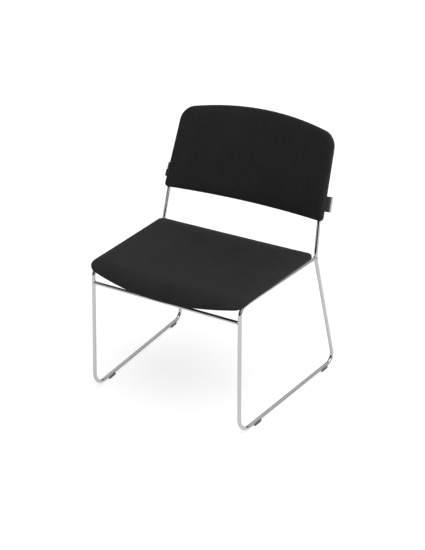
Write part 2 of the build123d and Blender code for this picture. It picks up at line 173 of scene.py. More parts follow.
def make_studio_world():
    """White to the camera; to everything else a bright ceiling over walls that are dim in front."""
    world = bpy.data.worlds.new("studio")
    scene.world = world
    world.use_nodes = True
    world.node_tree.nodes.clear()
    tree = Tree(world.node_tree)
    direction = tree.add("ShaderNodeTexCoord", output="Generated")
    height = tree.add("ShaderNodeSeparateXYZ", None, {0: direction}, output="Z")
    across = tree.other(height, "X") * 0.75
    rearward = (tree.other(height, "Y") * 0.42 + across).maths("ADD", 0.60, clamp=True)
    walls = tree.add("ShaderNodeValToRGB", {"stops": [
        (0.00, 0.25), (0.04, 0.05), (0.22, 0.07), (0.43, 0.62), (0.60, 1.00)]}, {0: height})
    dim = tree.add("ShaderNodeBackground", None, {"Color": walls, "Strength": rearward * 1.15})
    white = tree.add("ShaderNodeBackground", None, {"Color": (1, 1, 1, 1), "Strength": 1.0})
    seen = tree.add("ShaderNodeLightPath", output="Is Camera Ray")
    mixed = tree.add("ShaderNodeMixShader", None, {"Fac": seen, 1: dim, 2: white})
    tree.add("ShaderNodeOutputWorld", None, {"Surface": mixed})


def hang_ceiling(name, lean, spread, strength):
    """A broad glow from overhead, even over the whole floor, with little shadow."""
    data = bpy.data.lights.new(name, "SUN")
    data.angle = spread
    data.energy = strength
    lamp = bpy.data.objects.new(name, data)
    scene.collection.objects.link(lamp)
    lamp.rotation_euler = lean


def hang_light(name, place, aim, size, power):
    """A flat soft box that faces the point it is aimed at."""
    data = bpy.data.lights.new(name, "AREA")
    data.shape = "RECTANGLE"
    data.size, data.size_y = size
    data.energy = power
    lamp = bpy.data.objects.new(name, data)
    scene.collection.objects.link(lamp)
    lamp.location = place
    lamp.rotation_euler = (Vector(aim) - Vector(place)).to_track_quat("-Z", "Y").to_euler()


def place_camera():
    data = bpy.data.cameras.new("camera")
    data.lens = LENS_MM
    data.sensor_width = SENSOR_MM
    data.sensor_fit = "HORIZONTAL"
    data.clip_end = FAR_CLIP
    camera = bpy.data.objects.new("camera", data)
    scene.collection.objects.link(camera)
    away = Vector((
        sin(CAMERA_AZIMUTH) * cos(CAMERA_ELEVATION),
        -cos(CAMERA_AZIMUTH) * cos(CAMERA_ELEVATION),
        sin(CAMERA_ELEVATION),
    ))
    camera.location = CAMERA_TARGET + away * CAMERA_DISTANCE
    camera.rotation_euler = (-away).to_track_quat("-Z", "Y").to_euler()
    scene.camera = camera


make_studio_floor()
make_studio_world()
hang_ceiling("ceiling_glow", (radians(6), radians(14), 0), radians(58), 1.75)
hang_light("front_fill", (-2.2, -2.6, 2.2), (0, 0, 0.4), (1.4, 1.4), 3.0)
place_camera()


# ------------------------------------------------------------------ bent rods
# Each side is one 12 mm solid steel rod: seat rail, front leg, floor runner, rear leg and
# upright in one run of bends, chromed after welding. Two straight 11 mm rods join the sides.

MM = 0.001
LEFT, RIGHT = -1, 1
SIDE_NAMES = {LEFT: "left", RIGHT: "right"}
ROD_RADIUS = 6.0 * MM
CROSSBAR_RADIUS = 5.5 * MM
RUNNER_Z = 9.5 * MM
RAIL_Z = 422.5 * MM
FRONT_TOP_Y = 10.0 * MM
KINK_Y = 430.0 * MM
REAR_FOOT_Y = 556.0 * MM
HALF_WIDTH = 257.0 * MM
TAPER = 0.058
SPLAY = 0.020
FRONT_BAR_Z = 375.5 * MM
REAR_BAR_Y = 372.0 * MM
GLIDE_Y = (95.0 * MM, 493.0 * MM)

# Lengths along Y start at the front feet, as the bender's drawing does.
low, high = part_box("glide_front_right")
FEET_Y = (low.y + high.y) / 2 - GLIDE_Y[0]


def side_x(y, z):
    """Half width of the sloping plane that holds one bent side."""
    return HALF_WIDTH + TAPER * (y - FRONT_TOP_Y) + SPLAY * (RAIL_Z - z)


def side_point(side, y, z):
    return Vector((side * side_x(y, z), y + FEET_Y, z))


BACK_Y = 443.0 * MM
BACK_Z = 540.5 * MM
BACK_LEAN = radians(21.0)
BACK_HALF_WIDTH = 286.5 * MM
BACK_NARROWING = 0.0515
BACK_ROD_INSET = 12.0 * MM
BACK_ROD_DEPTH = 14.5 * MM


def back_half_width(up):
    return BACK_HALF_WIDTH - BACK_NARROWING * up


def on_back(x, depth, up):
    """A point given across the back, into its thickness and up its slope."""
    y = depth * cos(BACK_LEAN) + up * sin(BACK_LEAN)
    z = -depth * sin(BACK_LEAN) + up * cos(BACK_LEAN)
    return Vector((x, y + BACK_Y + FEET_Y, z + BACK_Z))


def upright_point(side, up):
    return on_back(side * (back_half_width(up) - BACK_ROD_INSET), BACK_ROD_DEPTH, up)


def side_rod_path(side):
    """Corner points of one side with the bend radius at each, from the rail's rear end on."""
    return [
        (side_point(side, KINK_Y, RAIL_Z), 0),
        (side_point(side, FRONT_TOP_Y, RAIL_Z), 30 * MM),
        (side_point(side, 0, RUNNER_Z), 52 * MM),
        (side_point(side, REAR_FOOT_Y, RUNNER_Z), 28 * MM),
        (side_point(side, KINK_Y, RAIL_Z), 60 * MM),
        (upright_point(side, 0), 80 * MM),
        (upright_point(side, 150 * MM), 0),
    ]


def geometry_tree(name, inputs):
    """A geometry tree whose group input has the geometry and some named numbers."""
    nodes = bpy.data.node_groups.new(name, "GeometryNodeTree")
    nodes.interface.new_socket("Geometry", in_out="INPUT", socket_type="NodeSocketGeometry")
    nodes.interface.new_socket("Geometry", in_out="OUTPUT", socket_type="NodeSocketGeometry")
    for label, kind in inputs.items():
        nodes.interface.new_socket(label, in_out="INPUT", socket_type=kind)
    return Tree(nodes)


def close_tree(tree, geometry, material):
    """Ends a geometry tree in real, painted mesh."""
    real = tree.add("GeometryNodeRealizeInstances", None, {0: geometry})
    painted = tree.add("GeometryNodeSetMaterial", None, {0: real, "Material": material})
    tree.add("NodeGroupOutput", None, {0: painted})


def keep_result(obj):
    """Makes what an object's modifiers show its plain mesh, and removes them."""
    made = bpy.data.meshes.new_from_object(obj.evaluated_get(bpy.context.evaluated_depsgraph_get()))
    obj.modifiers.clear()
    obj.data = made


def settle(obj, tree, values):
    """Runs a geometry tree on an object and keeps the result as its plain mesh."""
    modifier = obj.modifiers.new("made", "NODES")
    modifier.node_group = tree.nodes
    for item in tree.nodes.interface.items_tree:
        if item.in_out == "INPUT" and item.name in values:
            modifier[item.identifier] = values[item.name]
    keep_result(obj)


def new_object(name, mesh):
    obj = bpy.data.objects.new(name, mesh)
    scene.collection.objects.link(obj)
    return obj


def path_mesh(name, runs, bends=()):
    """Open runs of points as loose edges, with the bend radius kept at each point if given."""
    points, edges = [], []
    for run in runs:
        first = len(points)
        points += run
        edges += [(i, i + 1) for i in range(first, len(points) - 1)]
    mesh = bpy.data.meshes.new(name)
    mesh.from_pydata(points, edges, [])
    if bends:
        mesh.attributes.new("bend", "FLOAT", "POINT").data.foreach_set("value", bends)
    return mesh


def chrome_material():
    """Bright plating: a faint haze, a few wipe marks, and dulled near the floor by scuffs."""
    material, tree = new_material("chrome_plate")
    place = tree.place()
    haze = tree.noise(place, 18.0, 4.0)
    wipe = tree.noise(place, 260.0, 2.0)
    height = tree.add("ShaderNodeSeparateXYZ", None, {0: place}, output="Z")
    scuffs = tree.add("ShaderNodeMapRange", None, {"Value": height, 1: 0.0, 2: 0.05, 3: 1.0, 4: 0.0})
    scuffed = scuffs * haze.maths("GREATER_THAN", 0.52) * 0.10
    colour = tree.between(haze * 0.35 + scuffed, (0.50, 0.505, 0.515), (0.38, 0.385, 0.40))
    roughness = 0.045 + haze * 0.05 + wipe * 0.02 + scuffed
    tree.surface(colour, roughness, (haze, 0.05, 0.0004), {"Metallic": 1.0})
    return material


def rod_tree(material):
    """Rounds the corners of a path by the radius kept at each, and runs a round rod along it."""
    tree = geometry_tree("bent_rod", {
        "Rod radius": "NodeSocketFloat", "Sides": "NodeSocketInt", "Bend steps": "NodeSocketInt"})
    given = tree.add("NodeGroupInput", output="Geometry")
    line = tree.add("GeometryNodeMeshToCurve", None, {0: given})
    bend = tree.add("GeometryNodeInputNamedAttribute", {"data_type": "FLOAT"}, {"Name": "bend"})
    bent = tree.add("GeometryNodeFilletCurve", {"mode": "POLY"}, {
        "Curve": line, "Radius": bend, "Count": tree.other(given, "Bend steps"), "Limit Radius": False})
    ring = tree.add("GeometryNodeCurvePrimitiveCircle", {"mode": "RADIUS"}, {
        "Resolution": tree.other(given, "Sides"), "Radius": tree.other(given, "Rod radius")})
    rod = tree.add("GeometryNodeCurveToMesh", None, {"Curve": bent, "Profile Curve": ring, "Fill Caps": True})
    smooth = tree.add("GeometryNodeSetShadeSmooth", None, {0: rod})
    close_tree(tree, smooth, material)
    return tree


ROD_SIDES = 40
BEND_STEPS = 22

chrome = chrome_material()
rod_maker = rod_tree(chrome)
for side, name in SIDE_NAMES.items():
    points, bends = zip(*side_rod_path(side))
    rod = new_object("side_rod_" + name, path_mesh("side_rod", [points], bends))
    settle(rod, rod_maker, {"Rod radius": ROD_RADIUS, "Sides": ROD_SIDES, "Bend steps": BEND_STEPS})
    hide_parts("side_frame_" + name)
    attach(rod, "root")

leg_share = (FRONT_BAR_Z - RUNNER_Z) / (RAIL_Z - RUNNER_Z)
crossbars = {
    "front_crossbar": (FRONT_TOP_Y * leg_share, FRONT_BAR_Z),
    "rear_crossbar": (REAR_BAR_Y, RAIL_Z),
}
for name, (y, z) in crossbars.items():
    ends = [side_point(side, y, z) for side in SIDE_NAMES]
    bar = new_object(name + "_rod", path_mesh(name, [ends], (0, 0)))
    settle(bar, rod_maker, {"Rod radius": CROSSBAR_RADIUS, "Sides": ROD_SIDES, "Bend steps": 1})
    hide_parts(name)
    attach(bar, "root")

# ------------------------------------------------------------------ welds
# Every joint in the frame is a small rippled weld bead, laid by hand round the end of the
# rod or along the tab before the whole frame is plated.

BEAD_RADIUS = 1.7 * MM
BEAD_RIPPLES = 22.0
SADDLE_STEPS = 32
KINK_WELD_BACK = 1.5 * MM         # the upright's weld sits just behind the rail's end
TAB_BEAD_FIRST = 4 * MM           # from the tab's front edge to its first bead
TAB_BEAD_PITCH = 14 * MM
TAB_BEAD_STEPS = 8                # of one millimetre each
TAB_BEAD_INSET = 5.6 * MM
TAB_BEAD_DROP = 0.4 * MM


def saddle_loop(end, inward, across, tube, host):
    """Closed run of points where a rod's surface meets the rod it is welded to."""
    other = inward.cross(across).normalized()
    run = []
    for i in range(SADDLE_STEPS + 1):
        angle = 2 * pi * i / SADDLE_STEPS
        reach = sqrt(max(host**2 - (tube * sin(angle)) ** 2, 0.0))
        on_ring = other * cos(angle) * tube + across * sin(angle) * tube
        run.append(end + inward * reach + on_ring)
    return run


def tab_bead(side, low, part):
    """One short straight bead where a seat tab meets the rail."""
    run = []
    for i in range(TAB_BEAD_STEPS + 1):
        y = low.y + TAB_BEAD_FIRST + part * TAB_BEAD_PITCH + i * MM
        x = side_x(y - FEET_Y, RAIL_Z) - TAB_BEAD_INSET
        run.append(Vector((side * x, y, low.z - TAB_BEAD_DROP)))
    return run


def weld_runs():
    """Beads at the crossbars' ends, where rail and upright meet, and along the seat tabs."""
    runs = []
    for y, z in crossbars.values():
        for side in SIDE_NAMES:
            end = side_point(side, y, z)
            inward = Vector((-side, 0, 0))
            along = Vector((0, 0, 1)) if z < RAIL_Z else Vector((0, 1, 0))
            runs.append(saddle_loop(end, inward, inward.cross(along), CROSSBAR_RADIUS, ROD_RADIUS))
    for side in SIDE_NAMES:
        end = side_point(side, KINK_Y + KINK_WELD_BACK, RAIL_Z)
        forward = (side_point(side, FRONT_TOP_Y, RAIL_Z) - end).normalized()
        runs.append(saddle_loop(end, forward, Vector((1, 0, 0)), ROD_RADIUS, ROD_RADIUS))
        for place in ("front", "rear"):
            tab_low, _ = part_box(f"seat_tab_{place}_{SIDE_NAMES[side]}")
            runs += [tab_bead(side, tab_low, part) for part in range(2)]
    return runs


def bead_tree(material):
    """A rippled bead along each run of points."""
    tree = geometry_tree("weld_bead", {"Bead radius": "NodeSocketFloat", "Ripples": "NodeSocketFloat"})
    given = tree.add("NodeGroupInput", output="Geometry")
    line = tree.add("GeometryNodeMeshToCurve", None, {0: given})
    fine = tree.add("GeometryNodeResampleCurve", None, {"Curve": line, "Count": 72})
    share = tree.add("GeometryNodeSplineParameter", output="Factor")
    ripple = (share * tree.other(given, "Ripples") * (2 * pi)).maths("SINE")
    lumpy = tree.add("GeometryNodeSetCurveRadius", None, {
        "Curve": fine, "Radius": ripple * 0.12 + 0.95})
    ring = tree.add("GeometryNodeCurvePrimitiveCircle", {"mode": "RADIUS"}, {
        "Resolution": 10, "Radius": tree.other(given, "Bead radius")})
    bead = tree.add("GeometryNodeCurveToMesh", None, {
        "Curve": lumpy, "Profile Curve": ring, "Fill Caps": True})
    wobble = tree.add("ShaderNodeTexNoise", None, {"Scale": 900.0, "Detail": 1.0})
    normal = tree.add("GeometryNodeInputNormal")
    push = tree.add("ShaderNodeVectorMath", {"operation": "SCALE"}, {
        0: normal, "Scale": (wobble - 0.5) * 0.0007})
    rough = tree.add("GeometryNodeSetPosition", None, {0: bead, "Offset": push})
    smooth = tree.add("GeometryNodeSetShadeSmooth", None, {0: rough})
    close_tree(tree, smooth, material)
    return tree


welds = new_object("weld_beads", path_mesh("welds", weld_runs()))
settle(welds, bead_tree(chrome), {"Bead radius": BEAD_RADIUS, "Ripples": BEAD_RIPPLES})
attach(welds, "root")


def paint_kept(name, material):
    """Finishes a piece that keeps its maker's solid."""
    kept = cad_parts[name].data
    kept.materials.clear()
    kept.materials.append(material)


# The welded tabs are laser-cut plate and keep the makers' solids, plated with the frame.
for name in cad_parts:
    if "_tab_" in name:
        paint_kept(name, chrome)

# ------------------------------------------------------------------ seat
# A moulded plywood board, padded on top with thin foam and covered in one piece of black
# upholstery, pulled over the edges and stapled underneath. The nose rolls down in front.

SEAT_THICK = 15.0 * MM
SEAT_UNDER = RAIL_Z + ROD_RADIUS
SEAT_REAR_Y = 418.0 * MM
SEAT_NOSE_Y = 40.0 * MM
SEAT_NOSE_R = 76.0 * MM
SEAT_MIDDLE_R = SEAT_NOSE_R - SEAT_THICK / 2
SEAT_FRONT = -42.0 * MM           # front edge at the middle, measured along the roll
SEAT_CENTRE = np.array((0, 190 * MM))
SEAT_LINES = (64, 50, 64, 50)     # mesh lines along the front, right, rear and left
SEAT_BOW_R = 890.0 * MM
SEAT_FRONT_CORNER_R = 28.0 * MM
SEAT_REAR_CORNER_R = 22.0 * MM
SEAT_CROWN = 5.5 * MM
HEM_WIDTH = 15.0 * MM
HEM_THICK = 1.2 * MM
OUTLINE_SAMPLES = 600
OUTLINE_REACH = 0.8
HALVINGS = 40
CORNER_CLOSENESS = 0.55
UNDERSIDE_SHIFT = 2.0             # lays the underside's weave clear of the face's

seat_nose_x = side_x(SEAT_NOSE_Y, RAIL_Z) + 14.0 * MM
seat_rear_x = side_x(SEAT_REAR_Y, RAIL_Z) + 2.5 * MM
seat_flare = (seat_rear_x - seat_nose_x) / (SEAT_REAR_Y - SEAT_NOSE_Y)


def round_join(a, b, radius):
    """Distance outside two sides, with the corner between them rounded."""
    over_a = np.maximum(a + radius, 0)
    over_b = np.maximum(b + radius, 0)
    return np.minimum(-radius, np.maximum(a, b)) + np.hypot(over_a, over_b)


def outside_seat(x, y):
    """Distance outside the seat's outline, laid flat."""
    side = (np.abs(x) - seat_nose_x - seat_flare * (y - SEAT_NOSE_Y)) * cos(atan(seat_flare))
    front = np.hypot(x, y - SEAT_FRONT - SEAT_BOW_R) - SEAT_BOW_R
    rear = y - SEAT_REAR_Y
    return np.maximum(round_join(side, front, SEAT_FRONT_CORNER_R),
                      round_join(side, rear, SEAT_REAR_CORNER_R))


def on_seat(x, y, t):
    """Place of a flat point at height t over the underside, rolled down in front."""
    angle = np.maximum(SEAT_NOSE_Y - y, 0) / SEAT_MIDDLE_R
    radius = SEAT_NOSE_R - SEAT_THICK + t
    rolled_y = np.where(y < SEAT_NOSE_Y, SEAT_NOSE_Y - radius * np.sin(angle), y)
    rolled_z = SEAT_UNDER + SEAT_THICK - SEAT_NOSE_R + radius * np.cos(angle)
    return np.stack([x, rolled_y + FEET_Y, rolled_z], axis=-1)


def run_along(points):
    """Length run so far at each point of a line."""
    return np.concatenate([[0], np.cumsum(np.hypot(*np.diff(points, axis=0).T))])


def closer_at_corners(share):
    """Even shares of a side, drawn towards its two ends."""
    return share - CORNER_CLOSENESS * np.sin(2 * pi * share) / (2 * pi)


def trace_outline(outside, centre, corners, inset, counts):
    """Four runs of points round an outline, one between each pair of corners."""
    sides = []
    for k, count in enumerate(counts):
        here, there = (np.array(corners[i % 4]) - centre for i in (k, k + 1))
        start = atan2(here[1], here[0])
        turn = (atan2(there[1], there[0]) - start) % (2 * pi)
        angles = start + np.linspace(0, turn, OUTLINE_SAMPLES)
        across, along = np.cos(angles), np.sin(angles)
        near, far = np.zeros(OUTLINE_SAMPLES), np.full(OUTLINE_SAMPLES, OUTLINE_REACH)
        for _ in range(HALVINGS):
            middle = (near + far) / 2
            out = outside(centre[0] + middle * across, centre[1] + middle * along) > -inset
            far = np.where(out, middle, far)
            near = np.where(out, near, middle)
        points = np.stack([centre[0] + near * across, centre[1] + near * along], axis=1)
        run = run_along(points)
        wanted = closer_at_corners(np.linspace(0, 1, count + 1)) * run[-1]
        sides.append(np.stack([np.interp(wanted, run, points[:, i]) for i in range(2)], axis=1))
    return sides


def fill_outline(sides):
    """Grid of points between four runs, blended from all four."""
    front, right, rear, left = sides[0], sides[1], sides[2][::-1], sides[3][::-1]
    along = closer_at_corners(np.linspace(0, 1, len(front)))[None, :, None]
    up = closer_at_corners(np.linspace(0, 1, len(right)))[:, None, None]
    between = ((1 - up) * front[None] + up * rear[None]
               + (1 - along) * left[:, None] + along * right[:, None])
    corners = ((1 - up) * (1 - along) * front[0] + (1 - up) * along * front[-1]
               + up * (1 - along) * rear[0] + up * along * rear[-1])
    return between - corners


def outward(outside, points):
    """Unit direction away from the outline at each point."""
    step = 0.05 * MM
    x, y = points[..., 0], points[..., 1]
    slope = np.stack([outside(x + step, y) - outside(x - step, y),
                      outside(x, y + step) - outside(x, y - step)], axis=-1)
    return slope / np.linalg.norm(slope, axis=-1, keepdims=True)


def rim_of(rows, columns):
    """Indices round a grid, front, right, rear and left."""
    index = np.arange(rows * columns).reshape(rows, columns)
    return np.concatenate([index[0, :-1], index[:-1, -1], index[-1, :0:-1], index[:0:-1, 0]])


def grid_faces(index, turned):
    """Quads over a grid of point numbers, facing the other way if turned."""
    faces = []
    for r in range(index.shape[0] - 1):
        for c in range(index.shape[1] - 1):
            quad = (index[r, c], index[r, c + 1], index[r + 1, c + 1], index[r + 1, c])
            faces.append(quad[::-1] if turned else quad)
    return faces


def edge_steps(thick, face_round, under_round):
    """Reach and height of each ring of points down the edge, from the face to the underside."""
    steps = [(face_round * (sin(a) - 1) + face_round, thick - face_round * (1 - cos(a)))
             for a in np.linspace(0, pi / 2, 6)[1:]]
    band = thick - face_round - under_round
    steps += [(face_round, thick - face_round - band * share) for share in (1 / 3, 2 / 3)]
    steps += [(face_round - under_round * (1 - cos(a)), under_round * (1 - sin(a)))
              for a in np.linspace(0, pi / 2, 5)]
    return steps


def face_mesh(name, points, faces):
    mesh = bpy.data.meshes.new(name)
    mesh.from_pydata(points, [], faces)
    return mesh


class Pad:
    """A closed cushion: a face, a rounded edge band and an underside, as one even quad mesh.

    The recess is how far inside the edge the underside steps up, and by how much.
    """

    def __init__(self, outside, place, centre, corners, counts, thick, rounds, recess=(1.0, 0.0)):
        self.place = place
        grid = fill_outline(trace_outline(outside, centre, corners, rounds[0], counts))
        rows, columns = grid.shape[:2]
        rim = rim_of(rows, columns)
        inner = np.setdiff1d(np.arange(rows * columns), rim)
        flat = grid.reshape(-1, 2)
        out = outward(outside, flat[rim])
        steps = edge_steps(thick, *rounds)
        points, heights, cloth = [flat], [np.full(len(flat), thick)], [flat]
        travelled, last = 0.0, (0.0, thick)
        for reach, height in steps:
            travelled += hypot(reach - last[0], height - last[1])
            last = (reach, height)
            points.append(flat[rim] + out * reach)
            heights.append(np.full(len(rim), height))
            cloth.append(flat[rim] + out * travelled)
        points.append(self.under_grid(points[-1], counts).reshape(-1, 2)[inner])
        within = outside(points[-1][:, 0], points[-1][:, 1]) < -recess[0]
        heights.append(np.where(within, recess[1], 0.0))
        cloth.append(points[-1] + (UNDERSIDE_SHIFT, 0.0))
        self.points = np.concatenate(points)
        self.heights = np.concatenate(heights)
        self.cloth = np.concatenate(cloth)
        self.face_count = rows * columns
        self.ring_length = len(rim)
        self.faces = self.all_faces(rows, columns, rim, inner, len(steps))

    def all_faces(self, rows, columns, rim, inner, bands):
        """Quads of the face, of each band down the edge, and of the underside."""
        faces = grid_faces(np.arange(rows * columns).reshape(rows, columns), False)
        above = rim
        for k in range(bands):
            ring = self.face_count + k * len(rim) + np.arange(len(rim))
            for i in range(len(rim)):
                j = (i + 1) % len(rim)
                faces.append((above[i], ring[i], ring[j], above[j]))
            above = ring
        under = np.empty(rows * columns, int)
        under[rim] = above
        under[inner] = above[-1] + 1 + np.arange(len(inner))
        return faces + grid_faces(under.reshape(rows, columns), True)

    def under_grid(self, ring, counts):
        """Grid of points inside the lowest ring."""
        sides, start = [], 0
        closed = np.vstack([ring, ring[:1]])
        for count in counts:
            sides.append(closed[start:start + count + 1])
            start += count
        return fill_outline(sides)

    def mesh(self, name):
        """The cushion in its place, with the weave laid flat over face and edge."""
        places = self.place(self.points[:, 0], self.points[:, 1], self.heights)
        mesh = face_mesh(name, places.tolist(), [tuple(int(i) for i in face) for face in self.faces])
        cloth = mesh.uv_layers.new(name="cloth")
        corners = np.empty(len(mesh.loops), int)
        mesh.loops.foreach_get("vertex_index", corners)
        cloth.data.foreach_set("uv", self.cloth[corners].ravel())
        return mesh


COVER_QUALITY = 6
COVER_MASS = 0.3
COVER_STIFFNESS = 15.0
COVER_BENDING = 2.0
FOAM_PRESSURE = 4.0
SETTLING_FRAMES = 20
EASING_ROUNDS = 14


def ease(mesh, moved, held):
    """Spreads each point's move over its neighbours, so that no pucker stays in the cover."""
    edges = np.empty(2 * len(mesh.edges), int)
    mesh.edges.foreach_get("vertices", edges)
    first, second = edges.reshape(-1, 2).T
    neighbours = np.bincount(edges, minlength=len(moved))[:, None]
    for _ in range(EASING_ROUNDS):
        total = np.zeros_like(moved)
        np.add.at(total, first, moved[second])
        np.add.at(total, second, moved[first])
        moved = 0.5 * moved + 0.5 * total / neighbours
        moved[held] = 0
    return moved


def puff_up(obj, held, cap):
    """Blows the cover up like cloth over foam, then limits how far any point has moved."""
    rest = np.array([v.co for v in obj.data.vertices])
    group = obj.vertex_groups.new(name="held")
    group.add([int(i) for i in held], 1.0, "REPLACE")
    modifier = obj.modifiers.new("cover", "CLOTH")
    cloth = modifier.settings
    cloth.quality = COVER_QUALITY
    cloth.mass = COVER_MASS
    cloth.tension_stiffness = COVER_STIFFNESS
    cloth.compression_stiffness = COVER_STIFFNESS
    cloth.shear_stiffness = COVER_STIFFNESS / 3
    cloth.bending_stiffness = COVER_BENDING
    cloth.use_pressure = True
    cloth.uniform_pressure_force = FOAM_PRESSURE
    cloth.vertex_group_mass = "held"
    cloth.effector_weights.gravity = 0.0
    modifier.collision_settings.use_collision = False
    modifier.point_cache.frame_end = SETTLING_FRAMES
    for step in range(1, SETTLING_FRAMES + 1):
        scene.frame_set(step)
    shown = obj.evaluated_get(bpy.context.evaluated_depsgraph_get())
    moved = np.array([v.co for v in shown.data.vertices]) - rest
    obj.modifiers.clear()
    obj.vertex_groups.clear()
    far = np.linalg.norm(moved, axis=1, keepdims=True)
    limited = moved * (cap * np.tanh(far / cap) / np.maximum(far, 1e-9))
    obj.data.vertices.foreach_set("co", (rest + ease(obj.data, limited, held)).ravel())
    obj.data.update()
    scene.frame_set(1)


def shade(mesh, smooth=True):
    mesh.polygons.foreach_set("use_smooth", [smooth] * len(mesh.polygons))


def subdivide(obj):
    """Smooths a pad's mesh for good."""
    modifier = obj.modifiers.new("smooth", "SUBSURF")
    modifier.levels = modifier.render_levels = 1
    keep_result(obj)
    shade(obj.data)


def upholstery_material():
    """Black wool cloth: a fine plain weave, slightly uneven dye and a soft nap."""
    material, tree = new_material("black_upholstery")
    cloth = tree.add("ShaderNodeUVMap", {"uv_map": "cloth"})
    thread = 0.55 * MM
    across = tree.add("ShaderNodeSeparateXYZ", None, {0: cloth}, output="X")
    along = tree.other(across, "Y")
    warp = (across * (pi / thread)).maths("SINE")
    weft = (along * (pi / thread)).maths("SINE")
    weave = warp * weft * 0.5 + 0.5
    place = tree.place()
    fluff = tree.noise(place, 1400.0, 2.0)
    dye = tree.add("ShaderNodeTexNoise", None, {
        "Vector": place, "Scale": 9.0, "Detail": 3.0, "Roughness": 0.6})
    brushed = tree.add("ShaderNodeMapping", None, {"Vector": place, "Scale": (1.0, 0.10, 0.10)})
    nap = tree.noise(brushed, 420.0, 3.0)
    mottle = weave * 0.20 + fluff * 0.40 + dye * 0.60 + nap * 0.70 - 0.45
    depth = mottle.maths("MULTIPLY", 1.0, clamp=True)
    colour = tree.between(depth, (0.001, 0.001, 0.0012), (0.023, 0.023, 0.024))
    tree.surface(colour, 0.62 + dye * 0.16, (weave * 0.5 + fluff * 0.6, 0.35, 0.0003), {
        "Sheen Weight": 0.03, "Sheen Roughness": 0.5, "Specular IOR Level": 0.24})
    return material


upholstery = upholstery_material()
seat_corners = [(-seat_nose_x, 0), (seat_nose_x, 0), (seat_rear_x, SEAT_REAR_Y),
                (-seat_rear_x, SEAT_REAR_Y)]
seat_shape = Pad(outside_seat, on_seat, SEAT_CENTRE, seat_corners, SEAT_LINES,
                 SEAT_THICK, (6 * MM, 4 * MM), (HEM_WIDTH, HEM_THICK))
seat_pad = new_object("seat_pad", seat_shape.mesh("seat_pad"))
# Only the face and its upper rounding are free; the rest is pulled tight over the board.
seat_held = np.arange(seat_shape.face_count + 4 * seat_shape.ring_length, len(seat_shape.points))
puff_up(seat_pad, seat_held, SEAT_CROWN)
seat_pad.data.materials.append(upholstery)
subdivide(seat_pad)
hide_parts("seat_cover", "seat_foam")
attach(seat_pad, "root")

# ------------------------------------------------------------------ back
# A curved plywood board between two foams, inside a sewn sleeve of the same upholstery that
# slides down over the two uprights and closes under the foot edge.

BACK_THICK = 27.0 * MM
BACK_HEIGHT = 301.0 * MM
BACK_TOP_R = 960.0 * MM
BACK_FOOT_RISE = 8.6 * MM
BACK_TOP_CORNER_R = 38.0 * MM
BACK_FOOT_CORNER_R = 7.0 * MM
BACK_HOLLOW = 24.0 * MM
BACK_CROWN = 3.5 * MM
BACK_FULLNESS = 1.6 * MM          # the padded edge stands out past the cut line
BACK_CENTRE = np.array((0, 140 * MM))
BACK_CORNER_UP = 262.0 * MM
BACK_LINES = (64, 38, 64, 38)     # mesh lines along the foot, right, top and left

back_radius = (BACK_HALF_WIDTH**2 + BACK_HOLLOW**2) / (2 * BACK_HOLLOW)


def outside_back(x, up):
    """Distance outside the back's outline, seen square on."""
    side = (np.abs(x) - BACK_HALF_WIDTH + BACK_NARROWING * up) * cos(atan(BACK_NARROWING))
    top = np.hypot(x, up - BACK_HEIGHT + BACK_TOP_R) - BACK_TOP_R
    foot = BACK_FOOT_RISE * (1 - (x / BACK_HALF_WIDTH) ** 2) - up
    cut = np.maximum(round_join(side, top, BACK_TOP_CORNER_R),
                     round_join(side, foot, BACK_FOOT_CORNER_R))
    return cut - BACK_FULLNESS


def in_back(x, up, t):
    """Place of a point t in front of the rear face of the curved panel."""
    depth = BACK_HOLLOW - back_radius + np.sqrt((back_radius + BACK_THICK - t) ** 2 - x**2)
    y = depth * cos(BACK_LEAN) + up * sin(BACK_LEAN)
    z = -depth * sin(BACK_LEAN) + up * cos(BACK_LEAN)
    return np.stack([x, y + BACK_Y + FEET_Y, z + BACK_Z], axis=-1)


back_top_x = back_half_width(BACK_CORNER_UP)
back_corners = [(-BACK_HALF_WIDTH, 0), (BACK_HALF_WIDTH, 0), (back_top_x, BACK_CORNER_UP),
                (-back_top_x, BACK_CORNER_UP)]
back_shape = Pad(outside_back, in_back, BACK_CENTRE, back_corners, BACK_LINES,
                 BACK_THICK, (7 * MM, 6 * MM))
back_pad = new_object("back_pad", back_shape.mesh("back_pad"))
# The sleeve is held along its edge band, and both its faces are free.
band_first = back_shape.face_count + 4 * back_shape.ring_length
back_held = np.arange(band_first, band_first + 3 * back_shape.ring_length)
puff_up(back_pad, back_held, BACK_CROWN)
back_pad.data.materials.append(upholstery)
subdivide(back_pad)
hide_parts("back_cover", "back_foam_front", "back_foam_rear")
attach(back_pad, "root")

# ------------------------------------------------------------------ seat lining
# Thin black non-woven cloth stretched across the underside inside the turned hem, and
# stapled to the board just inside the hem with a wire staple every few centimetres.

LINING_INSET = 15.5 * MM
LINING_HEIGHT = 0.55 * MM
STAPLE_INSET = 19.0 * MM
STAPLE_PITCH = 34.0 * MM
STAPLE_WIDTH = 9.0 * MM
STAPLE_WIRE = 0.45 * MM
STAPLE_TAB_GAP = 8.0 * MM
LINING_LINES = (48, 36, 48, 36)
LOOP_LINES = 400


def cut_area(outline):
    """Flat area of a closed outline of points."""
    x, y = outline[:, 0], outline[:, 1]
    return abs(float(np.sum(x * np.roll(y, -1) - y * np.roll(x, -1)))) / 2


